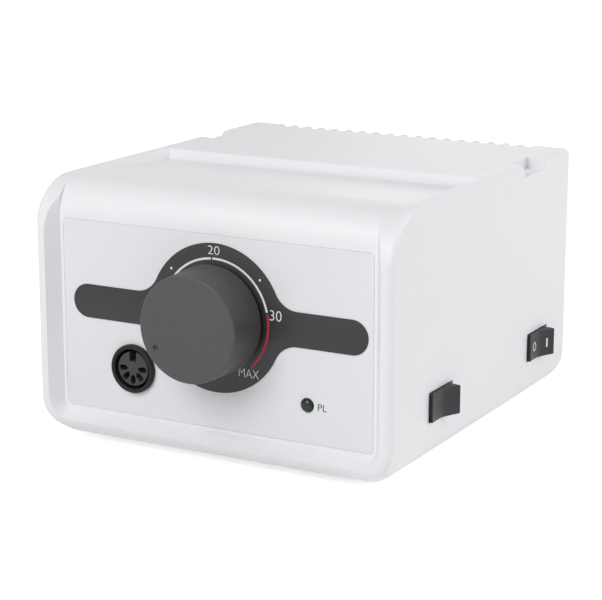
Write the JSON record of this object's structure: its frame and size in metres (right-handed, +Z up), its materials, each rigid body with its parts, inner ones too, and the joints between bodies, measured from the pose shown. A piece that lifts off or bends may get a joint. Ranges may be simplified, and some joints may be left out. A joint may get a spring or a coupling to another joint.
{
  "type": "nail drill control box",
  "caption": "Bench control box for an electric nail drill: rounded case with a turning speed knob, a round handpiece socket, a pilot lamp and rocker switches on its side.",
  "frame": {"origin": "middle of the overall box seen from above, at the bottom of the feet", "axes": "+X to the right seen from the front, +Y to the back, away from the knob, +Z up"},
  "size_m": [0.1416, 0.1732, 0.093],
  "materials": {
    "case_white": "satin moulded",
    "panel_grey": "smooth satin",
    "dial_print": "satin printed film",
    "knob_grey": "satin moulded",
    "switch_black": "satin moulded",
    "black_plastic": "satin moulded",
    "socket_grey": "matte moulded",
    "lamp_green": "clear gloss",
    "foot_rubber": "matte",
    "nickel": "nickel plated",
    "steel": "zinc plated",
    "brass": "turned",
    "core_steel": "varnished laminations",
    "coil_tape": "taped",
    "board_green": "solder mask",
    "capacitor_blue": "shrink sleeve",
    "header_ivory": "moulded",
    "sink_aluminium": "anodised",
    "print_white": "printed",
    "print_red": "printed",
    "print_dark": "printed",
    "fuse_glass": "clear",
    "wire_insulation": "smooth insulation"
  },
  "bodies": {
    "case": {"upper_case": "case_white", "base_plate": "case_white", "base_screws": "steel", "rubber_feet": "foot_rubber", "front_panel": "panel_grey", "dial_plate": "dial_print", "pot_housing": "steel", "pot_washer": "nickel", "pot_nut": "nickel", "pot_terminals": "nickel", "socket_shell": "black_plastic", "socket_insert": "socket_grey", "socket_contacts": "nickel", "socket_nut": "black_plastic", "lamp_lens": "lamp_green", "lamp_holder": "black_plastic", "lamp_leads": "nickel", "direction_housing": "black_plastic", "direction_terminals": "nickel", "power_housing": "black_plastic", "power_terminals": "nickel", "transformer_core": "core_steel", "transformer_coil": "coil_tape", "transformer_bracket": "steel", "transformer_screws": "steel", "circuit_board": "board_green", "board_posts": "brass", "board_screws": "steel", "filter_capacitor": "capacitor_blue", "small_capacitors": "capacitor_blue", "control_chip": "black_plastic", "bridge_rectifier": "black_plastic", "wire_headers": "header_ivory", "heat_sink": "sink_aluminium", "power_transistor": "black_plastic", "transistor_screw": "steel", "mains_inlet": "black_plastic", "inlet_pins": "nickel", "fuse_holder": "black_plastic", "fuse_nut": "black_plastic", "pedal_jack": "black_plastic", "pedal_nut": "nickel", "speed_wires": "wire_insulation", "socket_wires": "wire_insulation", "lamp_wires": "wire_insulation", "direction_wires": "wire_insulation", "mains_wires": "wire_insulation", "winding_wires": "wire_insulation", "pedal_wires": "wire_insulation"},
    "knob": {"speed_knob": "knob_grey", "knob_insert": "brass", "pot_shaft": "steel"},
    "direction_rocker": {"direction_rocker": "switch_black"},
    "power_rocker": {"power_rocker": "switch_black"},
    "fuse_carrier": {"fuse_cap": "black_plastic", "fuse_tube": "fuse_glass"}
  },
  "joints": [
    {"name": "knob_turn", "type": "hinge", "parent": "case", "child": "knob", "pos_m": [-0.00125, -0.0783, 0.0514], "axis": [0, 1, 0], "range_deg": [0, 260]},
    {"name": "direction_rock", "type": "hinge", "parent": "case", "child": "direction_rocker", "pos_m": [0.06115, -0.0355, 0.0238], "axis": [0, 0, 1], "range_deg": [0, 25]},
    {"name": "power_rock", "type": "hinge", "parent": "case", "child": "power_rocker", "pos_m": [0.06115, 0.0479, 0.0244], "axis": [0, 0, 1], "range_deg": [0, 25]},
    {"name": "fuse_turn", "type": "hinge", "parent": "case", "child": "fuse_carrier", "pos_m": [-0.01135, 0.0787, 0.034], "axis": [0, 1, 0], "range_deg": [0, 90]}
  ]
}
